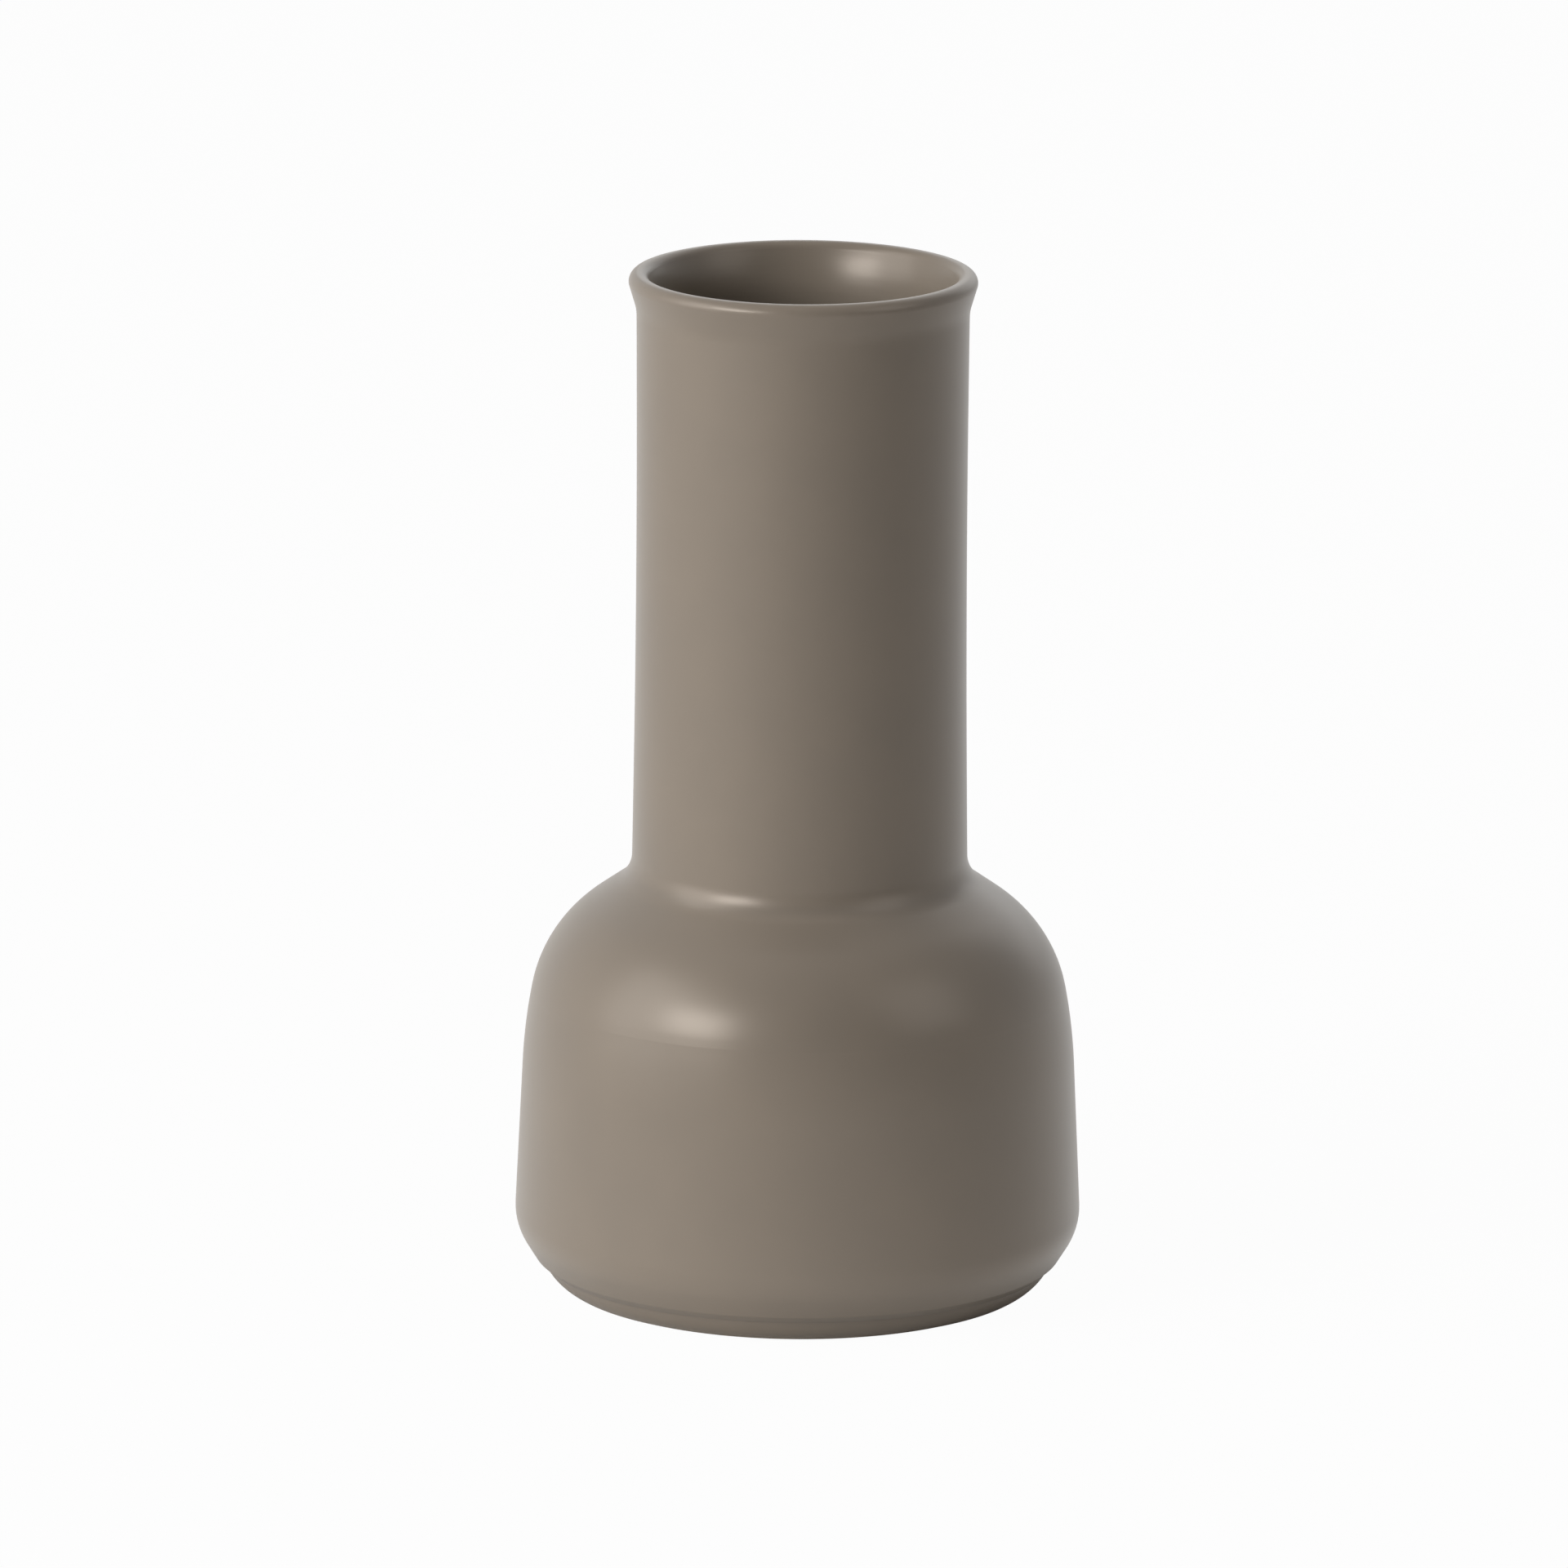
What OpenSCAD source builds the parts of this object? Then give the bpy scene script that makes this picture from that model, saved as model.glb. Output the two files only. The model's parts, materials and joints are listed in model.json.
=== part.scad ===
// Carafe vase: a low wide belly on a turned foot, a tall straight neck and a flared lip.
// It is built up as a potter builds it: a foot ring, a bowl and a neck are turned apart,
// set into each other's rebates with slip, and the whole is glazed but for its standing ring.
// Z is the turning axis and the foot stands on z = 0. Lengths are in millimetres.
// Diameters and radii of the outline are those of the glazed surface.

/* [Foot] */
// Height of the foot, from the ground up to the groove under the belly
foot_h = 5.8; // [4.8:0.1:7.6]
// How far the foot's side leans in between the groove and the ground
foot_draw = 3; // [1.5:0.05:4.5]
// Radius of the roll between the foot's side and the ground
foot_roll = 10.2; // [4:0.2:12]
// Width of the foot ring at the ground, before its edges are rounded
ring_w = 10.1; // [8:0.1:13]
// Radius of the standing ring's inner edge
ring_fillet = 0.8; // [0.4:0.1:1.6]
// Depth of the recess inside the foot ring
recess_h = 4.2; // [3:0.1:5.5]
// Radius where the glaze pools round the corner of the recess
recess_fillet = 1.2; // [0.6:0.1:2.5]

/* [Belly] */
// Widest diameter of the belly, where its side and its bevel would meet
belly_d = 123.4; // [105:0.1:145]
// How far the belly overhangs the foot at the groove
ledge_w = 2; // [1:0.05:3]
// Height of that overhang's slope, from the groove to the ridge
ledge_h = 1.65; // [1:0.05:2.5]
// Radius at the bottom of the groove
groove_fillet = 0.8; // [0.5:0.05:1.2]
// Radius on the ridge over the groove
ridge_fillet = 0.9; // [0.5:0.05:1.4]
// How far the bevel over the ridge widens the belly
bevel_w = 4.35; // [3:0.05:6]
// Height of the bevel
bevel_h = 6.95; // [5:0.05:10]
// Radius between the bevel and the side
bevel_fillet = 13; // [5:0.5:16]
// Height of the side, up to where it turns into the shoulder
side_h = 43.8; // [35:0.1:60]
// How far the side leans in over its height
side_draw = 2.05; // [1:0.05:3.5]
// Radius between the side and the shoulder
side_fillet = 118; // [60:1:160]
// Height of the shoulder's steep part
shoulder_h = 20.8; // [15:0.1:26]
// How far the shoulder's steep part leans in
shoulder_draw = 3.95; // [2.5:0.05:5.5]
// Radius of the shoulder's turn
shoulder_fillet = 31; // [15:0.5:36]
// Rise of the crown, from the shoulder's turn to the root of the neck
crown_h = 13.4; // [10:0.1:20]
// Thickness of the belly's wall, glaze included
belly_wall = 4.2; // [3.2:0.05:5.4]
// Thickness of the floor, glaze included
floor_t = 5.2; // [4:0.1:7]
// Radius inside, between the floor and the side
floor_fillet = 12; // [6:0.5:18]

/* [Neck] */
// Diameter of the neck at its root
neck_d = 72.9; // [60:0.1:82]
// Height of the neck, from its root to where the lip starts to flare
neck_h = 124.5; // [90:0.5:160]
// How far the neck draws in between its root and its waist
waist_draw = 1; // [0.2:0.05:1.6]
// Place of the waist, as a share of the neck's height
waist_share = 0.52; // [0.3:0.01:0.7]
// How far the neck swells again between its waist and the flare
neck_swell = 0.45; // [0:0.05:0.9]
// Radius of the neck's long curve through its waist
waist_fillet = 4500; // [1000:100:6000]
// Radius in the crease between the shoulder and the neck
root_fillet = 8; // [4:0.5:10]
// Radius inside, between the crown and the bore
bore_fillet = 7; // [4:0.5:10]
// Thickness of the neck's wall at its waist, glaze included
neck_wall = 4.2; // [3.2:0.05:5.4]

/* [Lip] */
// Height of the flared lip
lip_h = 8.1; // [6:0.05:11]
// How far the lip flares out over the neck
lip_flare = 2.45; // [1:0.05:4]
// Radius between the neck and the flare
flare_fillet = 10; // [4:0.5:16]
// Width of the lip's top, before its edges are rounded
lip_w = 4.4; // [3.8:0.05:5.6]
// Radius of the lip's outer edge
lip_outer_fillet = 2.1; // [1:0.1:2.6]
// Radius of the lip's inner edge
lip_inner_fillet = 2.1; // [1:0.1:2.6]
// Height inside over which the mouth widens up to the lip
throat_h = 6.2; // [4.5:0.1:9]
// Radius inside, between the bore and the widening mouth
throat_fillet = 25; // [8:1:30]
// Place of the seam between the outer and the inner glaze, as a share of the lip's width
lip_seam_share = 0.67; // [0.55:0.01:0.75]

/* [Glaze] */
// Thickness of the glaze
glaze_t = 0.35; // [0.2:0.05:0.6]
// Height above the ground up to which the foot is wiped bare
wiped_h = 1.2; // [0.8:0.1:2]

/* [Joints] */
// Thickness of the slip between two joined pieces
slip_t = 0.4; // [0.2:0.05:0.6]
// Depth of the neck's spigot in the collar of the bowl
spigot_h = 2; // [1.4:0.1:2.6]

/* [Hidden] */

// Most that an arc's chords may lie inside the arc
arc_sag = 0.02;
// Overrun of the cutting zones past what they cut
overrun = 5;
// Sides of a full turn where the model is shown as a mesh
$fn = 180;

clay_colour = [0.76, 0.68, 0.58];
slip_colour = [0.66, 0.58, 0.49];
glaze_colour = [0.50, 0.46, 0.41];
liner_colour = [0.43, 0.39, 0.35];

// Heights of the outline's corners, from the ground up
ridge_z = foot_h + ledge_h;
bevel_z = ridge_z + bevel_h;
side_z = bevel_z + side_h;
shoulder_z = side_z + shoulder_h;
root_z = shoulder_z + crown_h;
flare_z = root_z + neck_h;
lip_z = flare_z + lip_h;
waist_z = root_z + waist_share * neck_h;
throat_z = lip_z - throat_h;
floor_z = recess_h + floor_t;

// Radii of the outline's corners
belly_r = belly_d / 2;
ridge_r = belly_r - bevel_w;
groove_r = ridge_r - ledge_w;
foot_r = groove_r - foot_draw;
recess_r = foot_r - ring_w;
side_r = belly_r - side_draw;
shoulder_r = side_r - shoulder_draw;
neck_r = neck_d / 2;
waist_r = neck_r - waist_draw;
flare_r = waist_r + neck_swell;
lip_r = flare_r + lip_flare;
lip_seam_r = lip_r - lip_seam_share * lip_w;
mouth_r = lip_r - lip_w;
bore_r = waist_r - neck_wall;

// An outline is a list of corners [[radius, height], fillet].
function place(outline, i) = outline[i][0];
function way(outline, i) = let (run = place(outline, i + 1) - place(outline, i)) run / norm(run);
function is_end(outline, i) = i == 0 || i == len(outline) - 1;

// Turn of the outline at a corner, in degrees, above zero to the left
function turn(outline, i) =
    let (before = way(outline, i - 1), after = way(outline, i))
    atan2(cross(before, after), before * after);

function left_of(v) = [-v.y, v.x];
function turned(v, angle) = v * cos(angle) + left_of(v) * sin(angle);

// Length of straight that a corner's fillet wants on each side of it
function reach(outline, i) =
    is_end(outline, i) ? 0 : outline[i][1] * tan(abs(turn(outline, i)) / 2);

// Share of its reach that a fillet gets where it shares a straight with the next fillet
function reach_share(outline, i, other) =
    let (straight = norm(place(outline, i) - place(outline, other)),
         wanted = reach(outline, i) + reach(outline, other))
    wanted > straight ? straight / wanted : 1;

// Points of a corner's fillet, from one straight to the next
function fillet(outline, i) =
    let (angle = turn(outline, i),
         side = sign(angle),
         share = min(reach_share(outline, i, i - 1), reach_share(outline, i, i + 1)),
         radius = share * outline[i][1],
         start = place(outline, i) - share * reach(outline, i) * way(outline, i - 1),
         centre = start + side * radius * left_of(way(outline, i - 1)),
         steps = ceil(abs(angle) / (2 * acos(1 - min(arc_sag / radius, 1)))))
    [for (k = [0 : steps]) centre + turned(start - centre, angle * k / steps)];

// Points of an outline with its corners rounded
function rounded(outline) = [
    for (i = [0 : len(outline) - 1])
        each is_end(outline, i) || reach(outline, i) == 0 ? [place(outline, i)] : fillet(outline, i)
];

// The same outline moved to its left by a depth, with fillets that stay parallel
function moved(outline, depth) = [
    for (i = [0 : len(outline) - 1])
        let (before = left_of(way(outline, max(i - 1, 0))),
             after = left_of(way(outline, min(i, len(outline) - 2))),
             bend = is_end(outline, i) ? 0 : sign(turn(outline, i)))
        [place(outline, i) + depth * (before + after) / (1 + before * after),
         outline[i][1] == 0 ? 0 : max(0, outline[i][1] - bend * depth)]
];

// Points of an outline above a height that it climbs through once
function above(points, height) = [
    for (i = [1 : len(points) - 1])
        let (a = points[i - 1], b = points[i])
        each a.y < height && b.y >= height ? [a + (b - a) * (height - a.y) / (b.y - a.y), b]
            : b.y > height ? [b]
            : []
];

function reversed(list) = [for (i = [len(list) - 1 : -1 : 0]) list[i]];
function from(list, start) = [for (i = [start : len(list) - 1]) list[i]];

// Outline of the glazed outside, from the standing ring up to the seam on the lip
foot_outline = [
    [[recess_r, 0], 0],
    [[foot_r, 0], foot_roll],
    [[groove_r, foot_h], groove_fillet],
    [[ridge_r, ridge_z], ridge_fillet]
];
belly_outline = [
    [[belly_r, bevel_z], bevel_fillet],
    [[side_r, side_z], side_fillet],
    [[shoulder_r, shoulder_z], shoulder_fillet],
    [[neck_r, root_z], root_fillet]
];
neck_outline = [
    [[waist_r, waist_z], waist_fillet],
    [[flare_r, flare_z], flare_fillet],
    [[lip_r, lip_z], lip_outer_fillet],
    [[lip_seam_r, lip_z], 0]
];
outside = concat(foot_outline, belly_outline, neck_outline);

// Inside of the belly, one wall's thickness in, carried down to the floor and up to the bore
belly_inside = moved(belly_outline, belly_wall);
side_top = place(belly_inside, 1);
crown_foot = place(belly_inside, 2);
inner_floor_r = side_top.x + (side_top.y - floor_z) * side_draw / side_h;
inner_root_z = crown_foot.y + (crown_foot.x - bore_r) * crown_h / (shoulder_r - neck_r);

// Outline of the glazed inside, from the seam on the lip down to the middle of the floor
inside = [
    [[lip_seam_r, lip_z], 0],
    [[mouth_r, lip_z], lip_inner_fillet],
    [[bore_r, throat_z], throat_fillet],
    [[bore_r, inner_root_z], bore_fillet],
    belly_inside[2],
    belly_inside[1],
    [[inner_floor_r, floor_z], floor_fillet],
    [[0, floor_z], 0]
];

// Outlines of the clay, which lies under the glaze and stands on the ground itself
clay_foot_r = foot_r - glaze_t * norm([foot_h, foot_draw]) / foot_h;
clay_recess_r = recess_r + glaze_t;
clay_floor_z = recess_h + glaze_t;
clay_outside = concat(
    [[[clay_recess_r, 0], ring_fillet], [[clay_foot_r, 0], foot_roll]],
    from(moved(outside, glaze_t), 2)
);
clay_inside = moved(inside, glaze_t);
clay_section = rounded(concat(
    [[[0, clay_floor_z], 0], [[clay_recess_r, clay_floor_z], 0]],
    clay_outside,
    from(clay_inside, 1)
));

// Region that the neck takes, above the stepped seat in the collar of the bowl
module neck_zone(grow) {
    spigot_r = (neck_r + bore_r) / 2;
    seat = root_z - grow;
    translate([0, seat])
        square([neck_r + lip_flare + overrun, lip_z - seat + overrun]);
    translate([0, seat - spigot_h])
        square([spigot_r + grow, spigot_h + overrun]);
}

// Region that the foot ring takes, below the groove and outside the recess
module foot_zone(grow) {
    translate([clay_recess_r - grow, -overrun])
        square([ring_w + foot_draw + overrun, foot_h + grow + overrun]);
}

module foot_ring() {
    color(clay_colour)
        rotate_extrude()
            intersection() {
                polygon(clay_section);
                foot_zone(0);
            }
}

module belly_bowl() {
    color(clay_colour)
        rotate_extrude()
            difference() {
                polygon(clay_section);
                foot_zone(slip_t);
                neck_zone(slip_t);
            }
}

module neck_tube() {
    color(clay_colour)
        rotate_extrude()
            intersection() {
                polygon(clay_section);
                neck_zone(0);
            }
}

module foot_slip() {
    color(slip_colour)
        rotate_extrude()
            intersection() {
                polygon(clay_section);
                difference() {
                    foot_zone(slip_t);
                    foot_zone(0);
                }
            }
}

module neck_slip() {
    color(slip_colour)
        rotate_extrude()
            intersection() {
                polygon(clay_section);
                difference() {
                    neck_zone(slip_t);
                    neck_zone(0);
                }
            }
}

module outer_glaze() {
    color(glaze_colour)
        rotate_extrude()
            polygon(concat(
                above(rounded(outside), wiped_h),
                reversed(above(rounded(clay_outside), wiped_h))
            ));
}

module inner_glaze() {
    color(liner_colour)
        rotate_extrude()
            polygon(concat(rounded(inside), reversed(rounded(clay_inside))));
}

module base_glaze() {
    color(glaze_colour)
        rotate_extrude()
            polygon(rounded([
                [[0, recess_h], 0],
                [[recess_r, recess_h], recess_fillet],
                [[recess_r, wiped_h], 0],
                [[clay_recess_r, wiped_h], 0],
                [[clay_recess_r, clay_floor_z], 0],
                [[0, clay_floor_z], 0]
            ]));
}

foot_ring();
belly_bowl();
neck_tube();
foot_slip();
neck_slip();
outer_glaze();
inner_glaze();
base_glaze();
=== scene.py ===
"""Carafe vase in satin taupe glaze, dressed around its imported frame.

The glaze coats and the standing ring, which are all that shows, are turned again on a lathe: the
half section of each frame node is rounded between its corners and revolved in fine steps by one
Geometry Nodes tree. The clay body and the slip behind the glaze stay as the frame has them.
Lengths are in metres, Z is the turning axis and the vase stands on z = 0.
"""

import json
from collections import namedtuple
from math import cos, pi, radians, sin, tan

import bmesh
import bpy
from mathutils import Matrix, Vector


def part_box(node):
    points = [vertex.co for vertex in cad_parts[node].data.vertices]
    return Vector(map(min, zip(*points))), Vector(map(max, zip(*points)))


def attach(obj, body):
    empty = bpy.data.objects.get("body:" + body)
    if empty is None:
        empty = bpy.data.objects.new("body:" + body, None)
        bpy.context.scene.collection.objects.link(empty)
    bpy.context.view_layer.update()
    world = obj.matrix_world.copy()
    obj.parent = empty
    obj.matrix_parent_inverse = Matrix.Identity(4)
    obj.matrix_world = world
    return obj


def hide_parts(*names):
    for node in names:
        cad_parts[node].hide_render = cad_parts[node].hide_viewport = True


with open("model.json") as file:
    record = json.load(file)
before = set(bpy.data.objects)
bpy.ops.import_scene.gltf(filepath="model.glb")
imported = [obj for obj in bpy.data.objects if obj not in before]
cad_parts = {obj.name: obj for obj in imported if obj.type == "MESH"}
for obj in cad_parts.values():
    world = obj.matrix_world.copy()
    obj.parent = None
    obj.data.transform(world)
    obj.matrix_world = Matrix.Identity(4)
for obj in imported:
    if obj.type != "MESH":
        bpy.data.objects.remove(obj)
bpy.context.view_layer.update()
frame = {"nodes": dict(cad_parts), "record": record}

MM = 0.001

# Lathe: how finely it turns, the angle past which a corner is crisp and the one past which it is
# a corner at all, and how close two points are when they are one
STEPS_ROUND = 256
STEPS_BETWEEN_CORNERS = 3
CRISP_ANGLE = radians(50)
STRAIGHT_ANGLE = radians(0.05)
WELD = 0.0005 * MM

# Heights of the vase's features, from the frame's nodes
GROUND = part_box("foot_ring")[0].z
GLAZE_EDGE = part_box("outer_glaze")[0].z
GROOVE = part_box("foot_ring")[1].z
INNER_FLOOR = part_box("inner_glaze")[0].z
RECESS_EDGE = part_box("base_glaze")[0].z
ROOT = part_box("neck_slip")[1].z
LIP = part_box("outer_glaze")[1].z
MIDDLE = (GROUND + LIP) / 2

# Colours of the record's material slots, as linear red, green and blue
SLOT_COLOURS = {m["slot"]: Vector(m["base_color"]) for m in frame["record"]["materials"]}

# Glaze: its colour and roughness where the coat is thin and where it is deep, the size of its
# patches and how far they take the depth from a half, and its fine grain
THIN_TINT = Vector((1.16, 1.13, 1.08))
DEEP_TINT = Vector((0.86, 0.87, 0.88))
ROUGHNESS_THIN = 0.36
ROUGHNESS_DEEP = 0.30
GLOSS_TINT = (1.0, 0.9, 0.8, 1)
GLAZE_PATCH = 24 * MM
PATCH_DEPTH = 0.22
GLAZE_GRAIN = 1.3 * MM
GLAZE_GRAIN_DEPTH = 0.006 * MM

# Bands in the glaze coats: the height, how far the band spreads above and below it, how far its
# run wavers, and how much deeper the coat is there. They waver in waves of one size
GlazeBand = namedtuple("GlazeBand", "height spread waver deeper")
WIPED_FOOT = GlazeBand(GLAZE_EDGE, 0.5 * MM, 1.2 * MM, -0.45)
WIPED_RECESS = GlazeBand(RECESS_EDGE, 0.6 * MM, 1.2 * MM, -0.4)
THIN_LIP = GlazeBand(LIP, 0.8 * MM, 0.4 * MM, -0.25)
POOL_IN_GROOVE = GlazeBand(GROOVE, 0.9 * MM, 0.3 * MM, 0.25)
POOL_AT_ROOT = GlazeBand(ROOT, 1.2 * MM, 0.3 * MM, 0.2)
POOL_ON_FLOOR = GlazeBand(INNER_FLOOR, 3 * MM, 1 * MM, 0.3)
BAND_WAVE = 7 * MM

# Rings that the turning tool leaves: their pitch and depths, then how far they wander, and in how
# many waves, both counted in pitches
RING_PITCH = 1.1 * MM
GLAZED_RING_DEPTH = 0.012 * MM
CLAY_RING_DEPTH = 0.03 * MM
RING_WAVER = 3.5
WAVES_PER_RING = 0.06

# Clay: its patches and grain, and how far from a half they go where it is darkest and palest
CLAY_PATCH = 9 * MM
CLAY_GRAIN = 0.45 * MM
CLAY_GRAIN_DEPTH = 0.03 * MM
CLAY_CONTRAST = 0.15
PALE_TINT = Vector((1.12, 1.12, 1.12))
DARK_TINT = Vector((0.86, 0.85, 0.83))
BARE_ROUGHNESS = 0.82
BODY_ROUGHNESS = 0.88
SLIP_ROUGHNESS = 0.9

# Dark specks of iron in the clay, with their smallest radius and its growth counted in spacings
IRON = (0.12, 0.075, 0.045, 1)
IRON_SPACING = 0.9 * MM
IRON_SHARE = 0.3
SMALLEST_SPECK = 0.08
SPECK_GROWTH = 0.6

# Numbers of the Mix node's sockets, whose names repeat: share, first, second and result
MIX_SOCKETS = {"FLOAT": (0, 2, 3, 0), "VECTOR": (0, 4, 5, 1), "RGBA": (0, 6, 7, 2)}


def add(tree, kind, given=(), **settings):
    """A node of that kind, with its settings, and its inputs linked or filled in."""
    node = tree.nodes.new(kind)
    for name, value in settings.items():
        setattr(node, name, value)
    for key, value in dict(given).items():
        if isinstance(value, bpy.types.NodeSocket):
            tree.links.new(value, node.inputs[key])
        else:
            node.inputs[key].default_value = value
    return node


def maths(tree, operation, first, second=0.0):
    """A number worked out of one or two numbers."""
    return add(tree, "ShaderNodeMath", {0: first, 1: second}, operation=operation).outputs[0]


def vectors(tree, operation, first, second=(0, 0, 0)):
    """A vector worked out of one or two vectors."""
    return add(tree, "ShaderNodeVectorMath", {0: first, 1: second}, operation=operation).outputs[0]


def scaled(tree, vector, factor):
    """A vector made longer or shorter."""
    scale = add(tree, "ShaderNodeVectorMath", {0: vector, "Scale": factor}, operation="SCALE")
    return scale.outputs[0]


def measure(tree, operation, first, second=(0, 0, 0)):
    """A length or dot product."""
    value = add(tree, "ShaderNodeVectorMath", {0: first, 1: second}, operation=operation)
    return value.outputs["Value"]


def mixed(tree, kind, share, first, second):
    """What lies at that share of the way from the first to the second."""
    share_socket, first_socket, second_socket, result = MIX_SOCKETS[kind]
    given = {share_socket: share, first_socket: first, second_socket: second}
    return add(tree, "ShaderNodeMix", given, data_type=kind).outputs[result]


# The lathe

def half_section(node):
    """The outline of a frame node in the half plane y = 0, x > 0, as a mesh of edges."""
    shape = bmesh.new()
    shape.from_mesh(frame["nodes"][node].data)
    bmesh.ops.remove_doubles(shape, verts=shape.verts, dist=WELD)
    # The cut at x = 0 drops the far half, and the one at y = 0 gives the edges that are read
    for normal, clear in (((1, 0, 0), True), ((0, 1, 0), False)):
        parts = shape.verts[:] + shape.edges[:] + shape.faces[:]
        bmesh.ops.bisect_plane(
            shape, geom=parts, dist=WELD, plane_co=(0, 0, 0), plane_no=normal, clear_inner=clear
        )
    cut = [e for e in shape.edges if all(abs(v.co.y) < WELD for v in e.verts)]
    outline = bmesh.new()
    for edge in cut:
        outline.edges.new([outline.verts.new((v.co.x, 0, v.co.z)) for v in edge.verts])
    shape.free()
    bmesh.ops.remove_doubles(outline, verts=outline.verts, dist=WELD)
    straight = [
        v for v in outline.verts
        if len(v.link_edges) == 2 and turn_at(v) < STRAIGHT_ANGLE
    ]
    bmesh.ops.dissolve_verts(outline, verts=straight)
    mesh = bpy.data.meshes.new(node + "_section")
    outline.to_mesh(mesh)
    outline.free()
    return mesh


def turn_at(vertex):
    """Angle by which an outline turns at a vertex."""
    here = vertex.co
    before, after = (edge.other_vert(vertex).co for edge in vertex.link_edges)
    return (here - before).angle(after - here)


def neighbour(tree, place, offset):
    """Place of the curve's point that many steps along."""
    index = add(tree, "GeometryNodeOffsetPointInCurve", {"Offset": offset}).outputs["Point Index"]
    sample = add(
        tree, "GeometryNodeFieldAtIndex", {"Index": index, "Value": place},
        data_type="FLOAT_VECTOR", domain="POINT",
    )
    return sample.outputs["Value"]


def rounded_section(tree, section, steps, crisp_angle):
    """The section as a curve that is round through its slight corners and crisp at the others."""
    curve = add(tree, "GeometryNodeMeshToCurve", {"Mesh": section}).outputs["Curve"]
    curve = add(
        tree, "GeometryNodeCurveSplineType", {"Curve": curve}, spline_type="BEZIER"
    ).outputs["Curve"]
    here = add(tree, "GeometryNodeInputPosition").outputs["Position"]
    before = vectors(tree, "SUBTRACT", here, neighbour(tree, here, -1))
    after = vectors(tree, "SUBTRACT", neighbour(tree, here, 1), here)
    # The longer side leads by the square of its length, which keeps a straight straight where an
    # arc leaves it
    lead = [
        scaled(tree, side, maths(tree, "POWER", measure(tree, "LENGTH", side), 2.0))
        for side in (before, after)
    ]
    tangent = vectors(tree, "NORMALIZE", vectors(tree, "ADD", lead[0], lead[1]))
    bend = measure(
        tree, "DOT_PRODUCT", vectors(tree, "NORMALIZE", before), vectors(tree, "NORMALIZE", after)
    )
    crisp = maths(tree, "LESS_THAN", bend, maths(tree, "COSINE", crisp_angle))
    # Arms a third of their side long space the steps evenly
    for side, mode, third in ((before, "LEFT", -1 / 3), (after, "RIGHT", 1 / 3)):
        smooth_arm = scaled(tree, tangent, measure(tree, "LENGTH", side))
        arm = mixed(tree, "VECTOR", crisp, smooth_arm, side)
        handle = vectors(tree, "ADD", here, scaled(tree, arm, third))
        curve = add(
            tree, "GeometryNodeSetCurveHandlePositions", {"Curve": curve, "Position": handle},
            mode=mode,
        ).outputs["Curve"]
    curve = add(
        tree, "GeometryNodeSetSplineResolution", {"Geometry": curve, "Resolution": steps}
    ).outputs["Geometry"]
    outline = add(tree, "GeometryNodeCurveToMesh", {"Curve": curve}).outputs["Mesh"]
    return kept_within(tree, outline, section)


def kept_within(tree, outline, section):
    """The outline, with the little that its curves bulge out of the section's box pressed in."""
    box = add(tree, "GeometryNodeBoundBox", {"Geometry": section}).outputs
    place = add(tree, "GeometryNodeInputPosition").outputs["Position"]
    inside = vectors(tree, "MINIMUM", vectors(tree, "MAXIMUM", place, box["Min"]), box["Max"])
    return add(
        tree, "GeometryNodeSetPosition", {"Geometry": outline, "Position": inside}
    ).outputs["Geometry"]


def revolved(tree, outline, steps_round):
    """A sheet with a column of vertices for each point of the outline, run round the Z axis."""
    size = add(tree, "GeometryNodeAttributeDomainSize", {"Geometry": outline}, component="MESH")
    columns = maths(tree, "ADD", size.outputs["Edge Count"], 1.0)
    rows = maths(tree, "ADD", steps_round, 1.0)
    grid = add(tree, "GeometryNodeMeshGrid", {"Vertices X": columns, "Vertices Y": rows})
    # A vertex's index gives its column and row, and the half keeps it clear of rounding
    index = add(tree, "GeometryNodeInputIndex").outputs["Index"]
    column = maths(tree, "FLOOR", maths(tree, "DIVIDE", maths(tree, "ADD", index, 0.5), rows))
    row = maths(tree, "SUBTRACT", index, maths(tree, "MULTIPLY", column, rows))
    # A closed outline has as many edges as points, so the last column is its first point again
    point = maths(tree, "MODULO", column, size.outputs["Point Count"])
    here = add(tree, "GeometryNodeInputPosition").outputs["Position"]
    place = add(
        tree, "GeometryNodeSampleIndex", {"Geometry": outline, "Value": here, "Index": point},
        data_type="FLOAT_VECTOR", domain="POINT",
    ).outputs["Value"]
    angle = maths(tree, "MULTIPLY", maths(tree, "DIVIDE", row, steps_round), radians(360))
    turned = add(
        tree, "ShaderNodeVectorRotate", {"Vector": place, "Angle": angle}, rotation_type="Z_AXIS"
    ).outputs["Vector"]
    sheet = add(
        tree, "GeometryNodeStoreNamedAttribute",
        {"Geometry": grid.outputs["Mesh"], "Name": "UVMap", "Value": grid.outputs["UV Map"]},
        data_type="FLOAT2", domain="CORNER",
    ).outputs["Geometry"]
    return add(
        tree, "GeometryNodeSetPosition", {"Geometry": sheet, "Position": turned}
    ).outputs["Geometry"]


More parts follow.
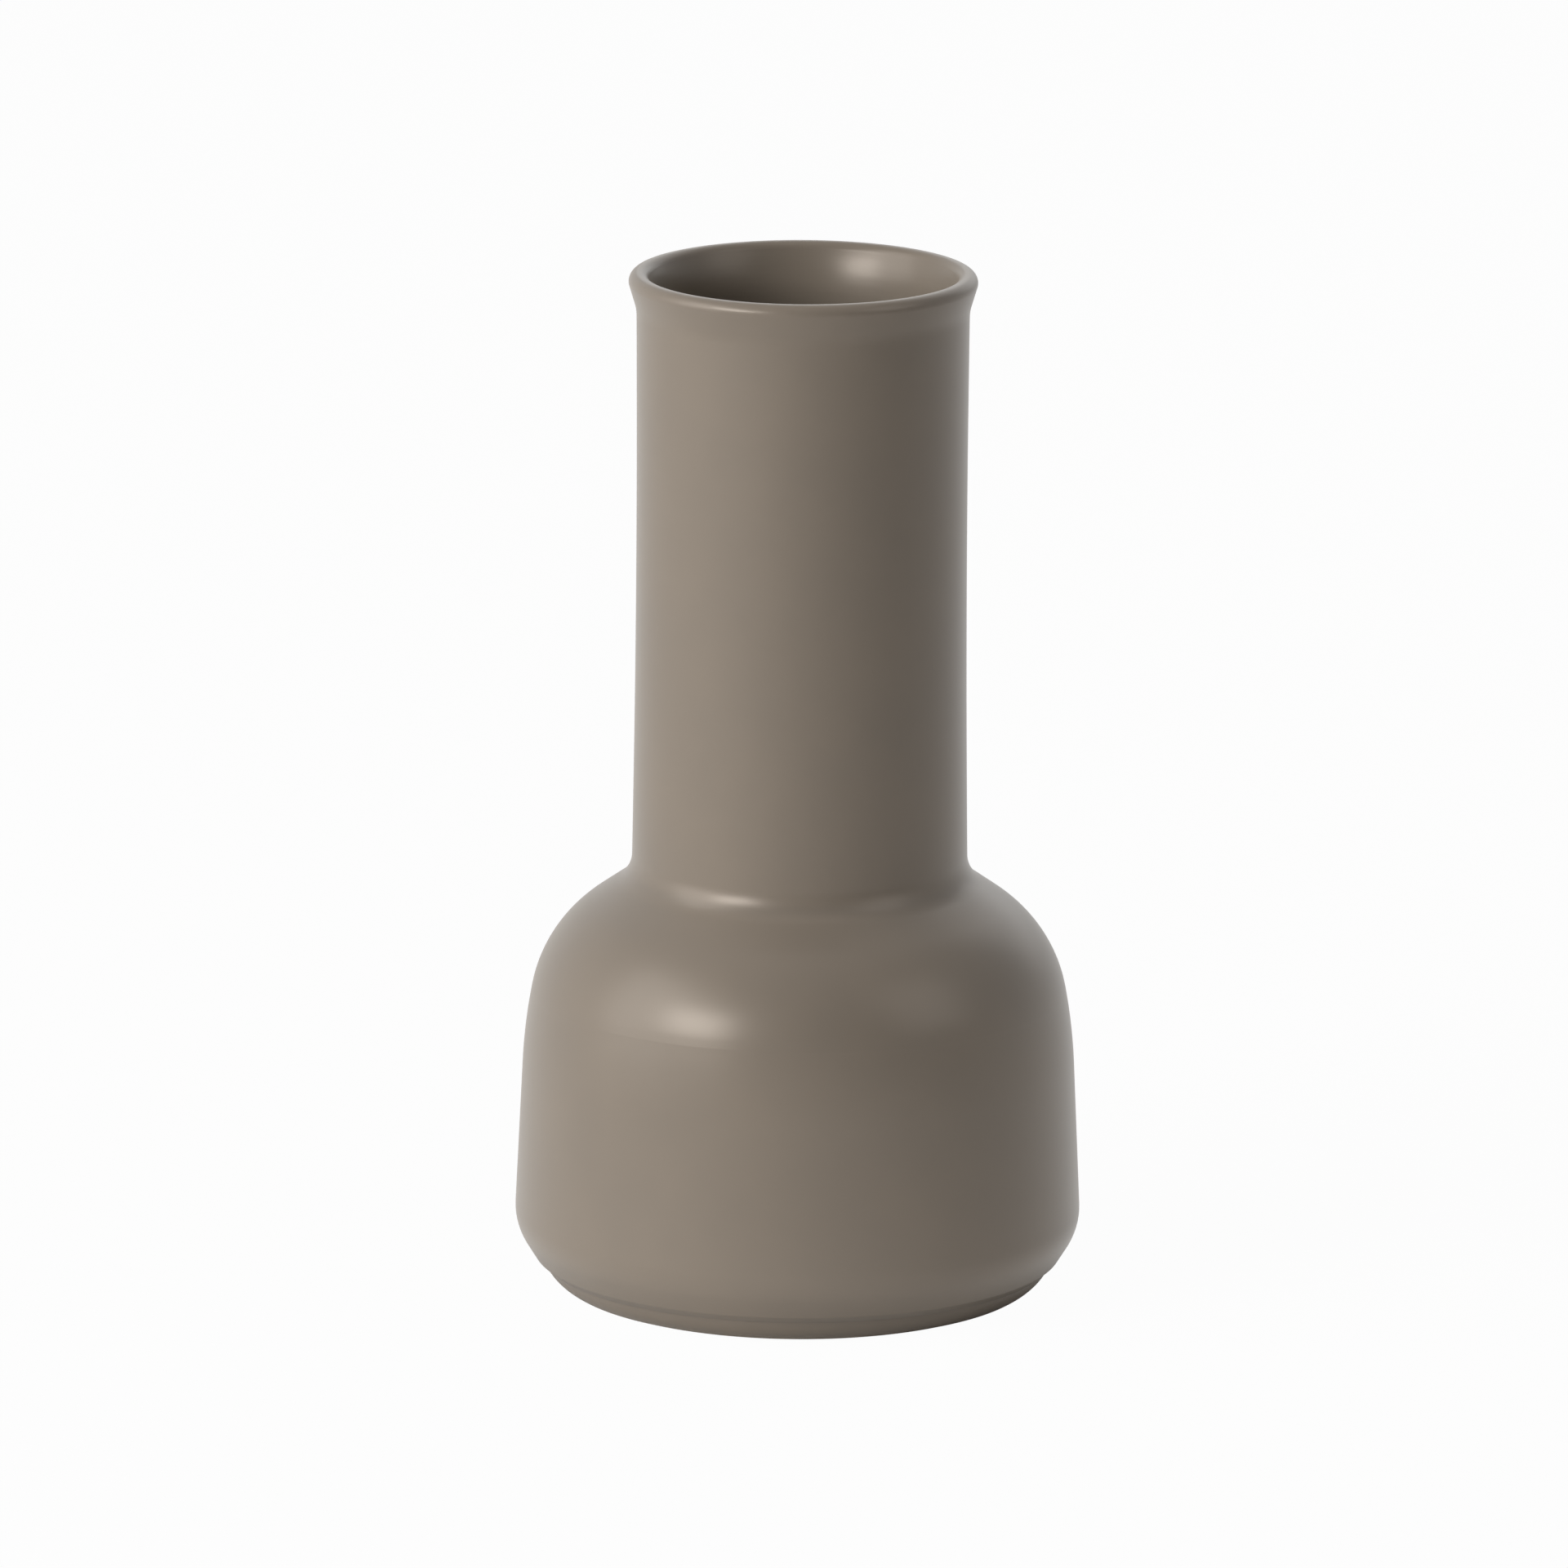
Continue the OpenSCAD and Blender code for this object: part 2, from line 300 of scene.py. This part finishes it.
def facing_out(tree, solid):
    """The solid with its faces turned outwards, by the sign of its volume."""
    place = add(tree, "GeometryNodeInputPosition").outputs["Position"]
    normal = add(tree, "GeometryNodeInputNormal").outputs["Normal"]
    area = add(tree, "GeometryNodeInputMeshFaceArea").outputs["Area"]
    share = maths(tree, "MULTIPLY", measure(tree, "DOT_PRODUCT", place, normal), area)
    volume = add(
        tree, "GeometryNodeAttributeStatistic", {"Geometry": solid, "Attribute": share},
        domain="FACE",
    ).outputs["Sum"]
    inside_out = add(
        tree, "FunctionNodeCompare", {"A": volume, "B": 0.0},
        data_type="FLOAT", operation="LESS_THAN",
    ).outputs["Result"]
    flipped = add(tree, "GeometryNodeFlipFaces", {"Mesh": solid}).outputs["Mesh"]
    return add(
        tree, "GeometryNodeSwitch", {"Switch": inside_out, "False": solid, "True": flipped},
        input_type="GEOMETRY",
    ).outputs["Output"]


def shaded(tree, solid, crisp_angle):
    """The solid shaded smooth, but for the edges that are crisp."""
    edge_angle = add(tree, "GeometryNodeInputMeshEdgeAngle").outputs["Unsigned Angle"]
    soft_edge = maths(tree, "LESS_THAN", edge_angle, crisp_angle)
    smooth = add(
        tree, "GeometryNodeSetShadeSmooth", {"Geometry": solid, "Shade Smooth": True}, domain="FACE"
    ).outputs["Geometry"]
    return add(
        tree, "GeometryNodeSetShadeSmooth", {"Geometry": smooth, "Shade Smooth": soft_edge},
        domain="EDGE",
    ).outputs["Geometry"]


def lathe_tree():
    """Geometry Nodes that turn a half section in the plane y = 0 into a closed solid."""
    tree = bpy.data.node_groups.new("lathe", "GeometryNodeTree")
    sockets = (
        ("Section", "Geometry"),
        ("Steps Round", "Int"),
        ("Steps Between Corners", "Int"),
        ("Crisp Angle", "Float"),
        ("Weld", "Float"),
        ("Finish", "Material"),
    )
    for name, kind in sockets:
        tree.interface.new_socket(name, in_out="INPUT", socket_type="NodeSocket" + kind)
    tree.interface.new_socket("Turned Solid", in_out="OUTPUT", socket_type="NodeSocketGeometry")
    given = tree.nodes.new("NodeGroupInput").outputs

    outline = rounded_section(
        tree, given["Section"], given["Steps Between Corners"], given["Crisp Angle"]
    )
    sheet = revolved(tree, outline, given["Steps Round"])
    solid = add(
        tree, "GeometryNodeMergeByDistance", {"Geometry": sheet, "Distance": given["Weld"]}
    ).outputs["Geometry"]
    solid = shaded(tree, facing_out(tree, solid), given["Crisp Angle"])
    solid = add(tree, "GeometryNodeRealizeInstances", {"Geometry": solid}).outputs["Geometry"]
    solid = add(
        tree, "GeometryNodeSetMaterial", {"Geometry": solid, "Material": given["Finish"]}
    ).outputs["Geometry"]
    output = tree.nodes.new("NodeGroupOutput")
    tree.links.new(solid, output.inputs["Turned Solid"])
    return tree


def turned_piece(name, node, tree, finish):
    """A piece turned on the lathe from a frame node's section, which it then stands for."""
    blank = bpy.data.objects.new(name + "_blank", half_section(node))
    bpy.context.scene.collection.objects.link(blank)
    lathe = blank.modifiers.new("lathe", "NODES")
    lathe.node_group = tree
    values = {
        "Steps Round": STEPS_ROUND,
        "Steps Between Corners": STEPS_BETWEEN_CORNERS,
        "Crisp Angle": CRISP_ANGLE,
        "Weld": WELD,
        "Finish": finish,
    }
    for socket in tree.interface.items_tree:
        if socket.name in values:
            lathe[socket.identifier] = values[socket.name]
    graph = bpy.context.evaluated_depsgraph_get()
    mesh = bpy.data.meshes.new_from_object(blank.evaluated_get(graph))
    mesh.name = name
    bpy.data.objects.remove(blank)
    piece = bpy.data.objects.new(name, mesh)
    bpy.context.scene.collection.objects.link(piece)
    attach(piece, "root")
    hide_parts(node)


# Patterns shared by the finishes

def shader_group(name, inputs, output):
    """A new shader node group with number sockets, what is given to it, and where its result
    goes."""
    group = bpy.data.node_groups.new(name, "ShaderNodeTree")
    for socket in inputs:
        group.interface.new_socket(socket, in_out="INPUT", socket_type="NodeSocketFloat")
    group.interface.new_socket(output, in_out="OUTPUT", socket_type="NodeSocketFloat")
    given = group.nodes.new("NodeGroupInput").outputs
    result = group.nodes.new("NodeGroupOutput").inputs[output]
    return group, given, result


def object_place(tree):
    """Place on the piece, in metres from the middle of the standing ring."""
    return add(tree, "ShaderNodeTexCoord").outputs["Object"]


def counted(tree, place, size):
    """A place counted in steps of that size."""
    return scaled(tree, place, maths(tree, "DIVIDE", 1.0, size))


def noise(tree, place, detail):
    """Soft noise from 0 to 1, around a half."""
    given = {"Vector": place, "Scale": 1.0, "Detail": detail}
    return add(tree, "ShaderNodeTexNoise", given).outputs["Fac"]


def ranged(tree, value, low, high):
    """A number from 0 to 1 carried over to the range from low to high."""
    return add(
        tree, "ShaderNodeMapRange", {"Value": value, "To Min": low, "To Max": high}
    ).outputs["Result"]


def way_between(tree, value, start, end):
    """How far a number has come from start to end: 0 up to the start, and 1 from the end on."""
    return add(
        tree, "ShaderNodeMapRange", {"Value": value, "From Min": start, "From Max": end}
    ).outputs["Result"]


def mottle_group():
    """Soft patches of a given size."""
    group, given, result = shader_group("mottle", ("Size", "Detail"), "Patches")
    place = counted(group, object_place(group), given["Size"])
    group.links.new(noise(group, place, given["Detail"]), result)
    return group


def ring_group():
    """Rings round the turning axis, of a given pitch, that wander a little."""
    group, given, result = shader_group("turning_rings", ("Pitch", "Waver"), "Rings")
    place = counted(group, object_place(group), given["Pitch"])
    height = add(group, "ShaderNodeSeparateXYZ", {"Vector": place}).outputs["Z"]
    radius = measure(group, "LENGTH", vectors(group, "MULTIPLY", place, (1, 1, 0)))
    wander = noise(group, scaled(group, place, WAVES_PER_RING), 1.0)
    across = maths(group, "ADD", radius, maths(group, "MULTIPLY", wander, given["Waver"]))
    unrolled = add(group, "ShaderNodeCombineXYZ", {"X": across, "Y": height}).outputs["Vector"]
    group.links.new(noise(group, unrolled, 2.0), result)
    return group


def band_group():
    """1 at a given height, falling softly to 0 a few spreads above and below, in a wavy run."""
    group, given, result = shader_group("height_band", ("Height", "Spread", "Waver"), "Band")
    place = object_place(group)
    height = add(group, "ShaderNodeSeparateXYZ", {"Vector": place}).outputs["Z"]
    wave = noise(group, counted(group, place, BAND_WAVE), 2.0)
    wave = maths(group, "MULTIPLY", maths(group, "SUBTRACT", wave, 0.5), given["Waver"])
    offset = maths(group, "SUBTRACT", maths(group, "ADD", height, wave), given["Height"])
    offset = maths(group, "DIVIDE", offset, given["Spread"])
    fall = maths(group, "MULTIPLY", maths(group, "MULTIPLY", offset, offset), -1.0)
    group.links.new(maths(group, "EXPONENT", fall), result)
    return group


def speck_group():
    """Round specks, one at most in each cell of a given size, and only in a share of the cells."""
    group, given, result = shader_group("specks", ("Spacing", "Share"), "Specks")
    place = counted(group, object_place(group), given["Spacing"])
    cells = add(group, "ShaderNodeTexVoronoi", {"Vector": place, "Scale": 1.0}).outputs
    chance = add(group, "ShaderNodeSeparateColor", {"Color": cells["Color"]}).outputs["Red"]
    chosen = maths(group, "LESS_THAN", chance, given["Share"])
    radius = maths(group, "ADD", maths(group, "MULTIPLY", chance, SPECK_GROWTH), SMALLEST_SPECK)
    speck = maths(group, "LESS_THAN", cells["Distance"], radius)
    group.links.new(maths(group, "MULTIPLY", chosen, speck), result)
    return group


MOTTLE = mottle_group()
RINGS = ring_group()
BAND = band_group()
SPECKS = speck_group()


def used(tree, group, given):
    """The output of a shader group used in that tree."""
    return add(tree, "ShaderNodeGroup", given, node_tree=group).outputs[0]


# Finishes

def blank_finish(name):
    """A new material, its node tree and its shader."""
    material = bpy.data.materials.new(name)
    material.use_nodes = True
    return material, material.node_tree, material.node_tree.nodes["Principled BSDF"]


def tinted(slot, tint):
    """A slot's colour times a tint."""
    return (*(SLOT_COLOURS[slot] * tint), 1)


def relieved(tree, shader, height):
    """Gives the shader a fine relief, from a height in metres."""
    bump = add(tree, "ShaderNodeBump", {"Height": height, "Distance": 1.0, "Strength": 1.0})
    tree.links.new(bump.outputs["Normal"], shader.inputs["Normal"])


def glaze(name, slot, ring_depth, bands):
    """A satin glaze, darker and smoother where its coat is deep, which shows the turning tool's
    rings under it where they are given a depth."""
    material, tree, shader = blank_finish(name)
    patches = used(tree, MOTTLE, {"Size": GLAZE_PATCH, "Detail": 2.0})
    depth = ranged(tree, patches, 0.5 - PATCH_DEPTH, 0.5 + PATCH_DEPTH)
    for band in bands:
        given = {"Height": band.height, "Spread": band.spread, "Waver": band.waver}
        change = maths(tree, "MULTIPLY", used(tree, BAND, given), band.deeper)
        depth = maths(tree, "ADD", depth, change)
    depth = add(tree, "ShaderNodeClamp", {"Value": depth}).outputs["Result"]
    colour = mixed(tree, "RGBA", depth, tinted(slot, THIN_TINT), tinted(slot, DEEP_TINT))
    tree.links.new(colour, shader.inputs["Base Color"])
    tree.links.new(ranged(tree, depth, ROUGHNESS_THIN, ROUGHNESS_DEEP), shader.inputs["Roughness"])
    shader.inputs["Specular Tint"].default_value = GLOSS_TINT
    grain = used(tree, MOTTLE, {"Size": GLAZE_GRAIN, "Detail": 3.0})
    height = maths(tree, "MULTIPLY", grain, GLAZE_GRAIN_DEPTH)
    if ring_depth:
        rings = used(tree, RINGS, {"Pitch": RING_PITCH, "Waver": RING_WAVER})
        height = maths(tree, "ADD", height, maths(tree, "MULTIPLY", rings, ring_depth))
    relieved(tree, shader, height)
    return material


def clay(name, slot, roughness):
    """Fired clay with a sandy grain, dark specks of iron and the turning tool's rings."""
    material, tree, shader = blank_finish(name)
    shader.inputs["Roughness"].default_value = roughness
    patches = used(tree, MOTTLE, {"Size": CLAY_PATCH, "Detail": 4.0})
    grain = used(tree, MOTTLE, {"Size": CLAY_GRAIN, "Detail": 3.0})
    tone = maths(tree, "MULTIPLY", maths(tree, "ADD", patches, grain), 0.5)
    tone = way_between(tree, tone, 0.5 - CLAY_CONTRAST, 0.5 + CLAY_CONTRAST)
    body = mixed(tree, "RGBA", tone, tinted(slot, DARK_TINT), tinted(slot, PALE_TINT))
    iron = used(tree, SPECKS, {"Spacing": IRON_SPACING, "Share": IRON_SHARE})
    tree.links.new(mixed(tree, "RGBA", iron, body, IRON), shader.inputs["Base Color"])
    rings = used(tree, RINGS, {"Pitch": RING_PITCH, "Waver": RING_WAVER})
    grain_height = maths(tree, "MULTIPLY", grain, CLAY_GRAIN_DEPTH)
    ring_height = maths(tree, "MULTIPLY", rings, CLAY_RING_DEPTH)
    relieved(tree, shader, maths(tree, "ADD", grain_height, ring_height))
    return material


outside_glaze = glaze(
    "outside_glaze", "outer_glaze", 0.0, (WIPED_FOOT, POOL_IN_GROOVE, POOL_AT_ROOT, THIN_LIP)
)
inside_glaze = glaze(
    "inside_glaze", "inner_glaze", GLAZED_RING_DEPTH, (POOL_ON_FLOOR, THIN_LIP)
)
recess_glaze = glaze("recess_glaze", "base_glaze", GLAZED_RING_DEPTH, (WIPED_RECESS,))
bare_clay = clay("bare_clay", "bare_clay", BARE_ROUGHNESS)
body_clay = clay("body_clay", "body_clay", BODY_ROUGHNESS)
joining_slip = clay("joining_slip", "slip", SLIP_ROUGHNESS)

# The pieces that show, and the finishes of the frame's nodes behind them
lathe = lathe_tree()
turned_piece("glazed_outside", "outer_glaze", lathe, outside_glaze)
turned_piece("glazed_inside", "inner_glaze", lathe, inside_glaze)
turned_piece("glazed_recess", "base_glaze", lathe, recess_glaze)
turned_piece("standing_ring", "foot_ring", lathe, bare_clay)

for node, finish in (
    ("belly_bowl", body_clay),
    ("neck_tube", body_clay),
    ("foot_slip", joining_slip),
    ("neck_slip", joining_slip),
):
    for material_slot in frame["nodes"][node].material_slots:
        material_slot.material = finish

# Camera, at the angle and in the frame of the photograph
ELEVATION = radians(13.219)
DISTANCE = 3.287
LENS = 348.0
ROLL = radians(0.358)
AIM_HEIGHT = 112.2 * MM
PAN = Vector((-3.507 * MM, -0.337 * MM, DISTANCE))

camera = bpy.data.objects.new("camera", bpy.data.cameras.new("camera"))
bpy.context.scene.collection.objects.link(camera)
camera.data.lens = LENS
camera.matrix_world = (
    Matrix.Translation((0, 0, AIM_HEIGHT))
    @ Matrix.Rotation(radians(90) - ELEVATION, 4, "X")
    @ Matrix.Rotation(ROLL, 4, "Z")
    @ Matrix.Translation(PAN)
)
bpy.context.scene.camera = camera

# Studio: the faint light from all round, and the lamps' distance from the vase
AMBIENT = 0.01
WHITE = (1.0, 1.0, 1.0, 1)
LAMP_DISTANCE = 3.0

# Floor: how white it is to the camera, the pool of light that it glows with onto the vase, though
# it is no lamp, and the radius within which glow and gloss white fade towards the foot as painted
# shade
FLOOR_COLOUR = (0.8, 0.8, 0.8, 1)
FLOOR_SIZE = 12.0
FLOOR_GLOW = 0.97
POOL_GLOW = 0.46
POOL_RADIUS = 0.25
FOOT_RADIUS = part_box("foot_ring")[1].x
PAINTED_SHADE_RADIUS = 1.3 * FOOT_RADIUS

# How far on the camera's side the white has faded out of the vase's gloss: metres on the floor,
# and the Y of a direction in the world
BACKDROP_FADE = 0.8


def seen_directly(tree, gloss_share):
    """1 for the rays that show the background to the camera or through glass, and a share of it
    for the rays of gloss."""
    rays = add(tree, "ShaderNodeLightPath").outputs
    gloss = maths(tree, "MULTIPLY", rays["Is Glossy Ray"], gloss_share)
    seen = maths(tree, "MAXIMUM", rays["Is Camera Ray"], rays["Is Transmission Ray"])
    return maths(tree, "MAXIMUM", seen, gloss)


def backdrop_share(tree, place):
    """1 behind the vase, falling to 0 towards the camera, where Y is below zero."""
    depth = add(tree, "ShaderNodeSeparateXYZ", {"Vector": place}).outputs["Y"]
    return way_between(tree, depth, -BACKDROP_FADE, 0.0)


def studio_world():
    """White where it is seen, and a faint even light where it lights the vase."""
    world = bpy.data.worlds.new("studio")
    world.use_nodes = True
    tree = world.node_tree
    background = tree.nodes["Background"]
    background.inputs["Color"].default_value = WHITE
    direction = add(tree, "ShaderNodeTexCoord").outputs["Generated"]
    strength = ranged(tree, seen_directly(tree, backdrop_share(tree, direction)), AMBIENT, 1.0)
    tree.links.new(strength, background.inputs["Strength"])
    bpy.context.scene.world = world


def studio_floor():
    """A plain white floor that keeps the vase's shadow, and glows with a pool of light round it
    though it is no lamp; the glow, and the white in the vase's gloss, fade towards the foot as
    painted shade."""
    material = bpy.data.materials.new("studio_floor")
    material.use_nodes = True
    tree = material.node_tree
    tree.nodes.clear()
    paint = add(tree, "ShaderNodeBsdfDiffuse", {"Color": FLOOR_COLOUR}).outputs[0]
    glow = add(tree, "ShaderNodeEmission", {"Color": WHITE}).outputs[0]
    place = object_place(tree)
    away = measure(tree, "LENGTH", place)
    # Painted shade: the floor's glow and the white that the vase's gloss sees fade out towards the
    # foot
    clear = way_between(tree, away, FOOT_RADIUS, PAINTED_SHADE_RADIUS)
    # Painted light: within this radius the floor glows onto the vase, though it is no lamp
    pool = maths(tree, "MULTIPLY", maths(tree, "LESS_THAN", away, POOL_RADIUS), POOL_GLOW)
    pool = maths(tree, "MULTIPLY", pool, clear)
    white = seen_directly(tree, maths(tree, "MULTIPLY", backdrop_share(tree, place), clear))
    share = mixed(tree, "FLOAT", white, pool, FLOOR_GLOW)
    surface = add(tree, "ShaderNodeMixShader", {0: share, 1: paint, 2: glow}).outputs[0]
    add(tree, "ShaderNodeOutputMaterial", {"Surface": surface})
    half = FLOOR_SIZE / 2
    sides = ((-half, -half), (half, -half), (half, half), (-half, half))
    corners = [(x, y, GROUND) for x, y in sides]
    mesh = bpy.data.meshes.new("floor")
    mesh.from_pydata(corners, [], [(0, 1, 2, 3)])
    mesh.materials.append(material)
    floor = bpy.data.objects.new("floor", mesh)
    bpy.context.scene.collection.objects.link(floor)


def lamp(name, azimuth, elevation, width, height, radiance):
    """A soft box that faces the vase. Its place and size are angles in degrees, seen from the
    vase, with azimuth 0 on the camera's side and above zero to the camera's right."""
    light = bpy.data.lights.new(name, "AREA")
    light.shape = "RECTANGLE"
    light.size = 2 * LAMP_DISTANCE * tan(radians(width) / 2)
    light.size_y = 2 * LAMP_DISTANCE * tan(radians(height) / 2)
    light.energy = radiance * pi * light.size * light.size_y
    across = radians(azimuth)
    up = radians(elevation)
    direction = Vector((sin(across) * cos(up), -cos(across) * cos(up), sin(up)))
    box = bpy.data.objects.new(name, light)
    box.matrix_world = (
        Matrix.Translation(Vector((0, 0, MIDDLE)) + LAMP_DISTANCE * direction)
        @ direction.to_track_quat("Z", "Y").to_matrix().to_4x4()
    )
    bpy.context.scene.collection.objects.link(box)


studio_world()
studio_floor()
lamp("key_box", azimuth=-46, elevation=21, width=25, height=19, radiance=13.0)
lamp("key_scrim", azimuth=-75, elevation=23, width=33, height=46, radiance=2.75)
lamp("right_fill", azimuth=63, elevation=31, width=30, height=34, radiance=1.15)
lamp("back_fill", azimuth=160, elevation=27, width=50, height=40, radiance=0.6)
bpy.context.scene.view_settings.view_transform = "Standard"
